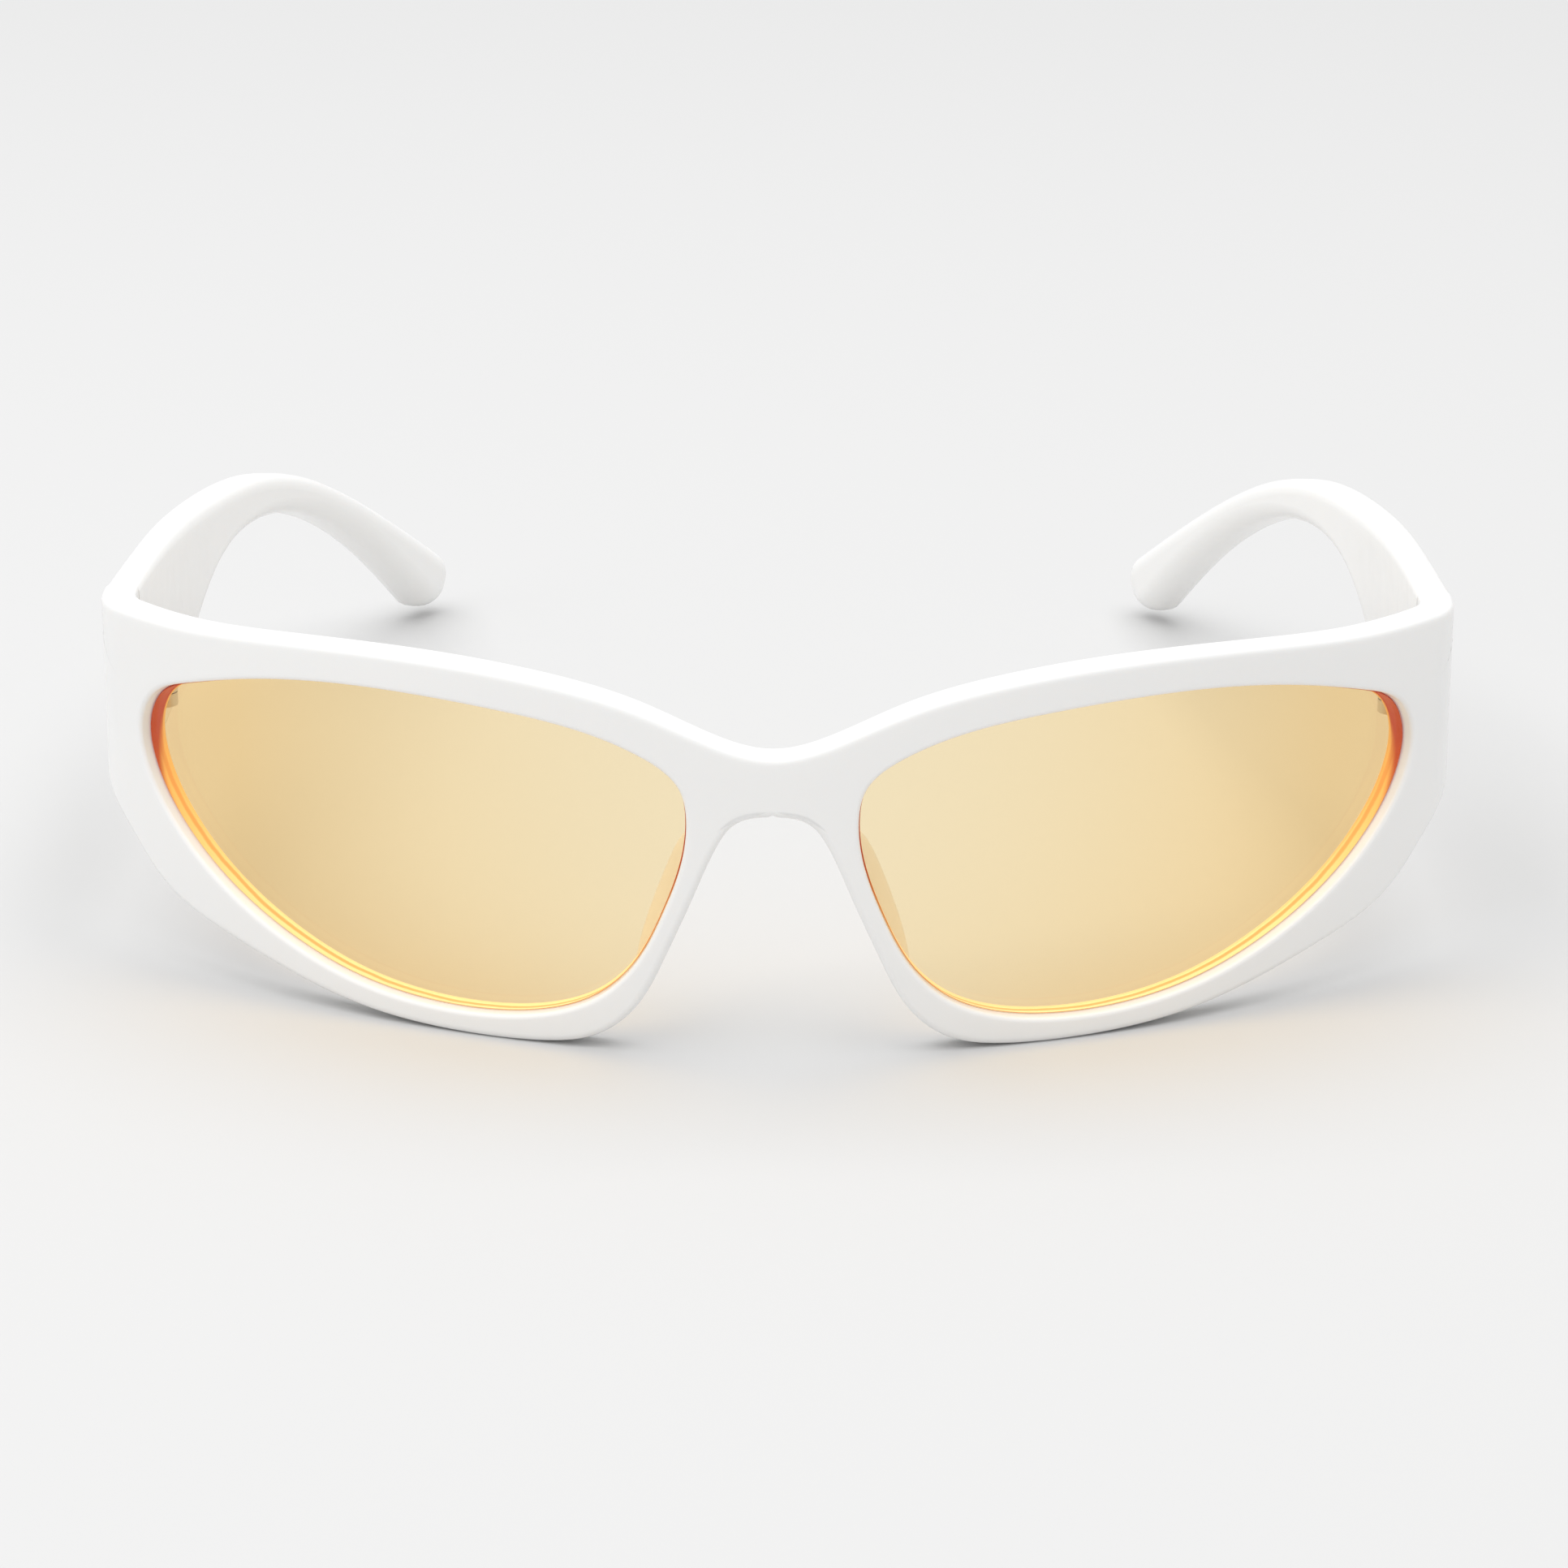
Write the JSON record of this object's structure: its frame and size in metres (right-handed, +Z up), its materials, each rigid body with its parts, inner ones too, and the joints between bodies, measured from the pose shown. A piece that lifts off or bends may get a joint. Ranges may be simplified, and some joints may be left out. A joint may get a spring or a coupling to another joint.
{
  "type": "sunglasses",
  "caption": "Wraparound sport sunglasses: curved full-rim moulded front, amber lenses set in grooves, and bowed temples that fold in on screwed metal hinges.",
  "frame": {"origin": "on the surface that the sunglasses stand on, under the middle of their bounding box, with the temples open", "axes": "+Z up; +Y from the front towards the temple tips, so the wearer looks along -Y; +X to the viewer's right when the front is seen from ahead, which is the wearer's left"},
  "size_m": [0.1414, 0.1514, 0.0407],
  "materials": {
    "frame_plastic": "glossy white injection-moulded plastic with soft rounded edges",
    "lens_polycarbonate": "clear amber-tinted polycarbonate, polished, with saturated orange edges",
    "hinge_metal": "nickel-silver hinge leaf, lightly tumbled",
    "screw_steel": "bright steel screw with a slotted head"
  },
  "bodies": {
    "front": {"front_frame": "frame_plastic", "left_lens": "lens_polycarbonate", "left_front_hinge_leaf": "hinge_metal", "left_hinge_screw": "screw_steel", "left_front_leaf_screw_1": "screw_steel", "left_front_leaf_screw_2": "screw_steel", "right_lens": "lens_polycarbonate", "right_front_hinge_leaf": "hinge_metal", "right_hinge_screw": "screw_steel", "right_front_leaf_screw_1": "screw_steel", "right_front_leaf_screw_2": "screw_steel"},
    "left_temple": {"left_temple": "frame_plastic", "left_temple_hinge_leaf": "hinge_metal", "left_temple_leaf_screw_1": "screw_steel", "left_temple_leaf_screw_2": "screw_steel"},
    "right_temple": {"right_temple": "frame_plastic", "right_temple_hinge_leaf": "hinge_metal", "right_temple_leaf_screw_1": "screw_steel", "right_temple_leaf_screw_2": "screw_steel"}
  },
  "joints": [
    {"name": "left_temple_fold", "type": "hinge", "parent": "front", "child": "left_temple", "pos_m": [-0.0648, -0.0363, 0.0286], "axis": [0, 0, -1], "range_deg": [0, 84]},
    {"name": "right_temple_fold", "type": "hinge", "parent": "front", "child": "right_temple", "pos_m": [0.0648, -0.0363, 0.0286], "axis": [0, 0, 1], "range_deg": [0, 75]}
  ]
}
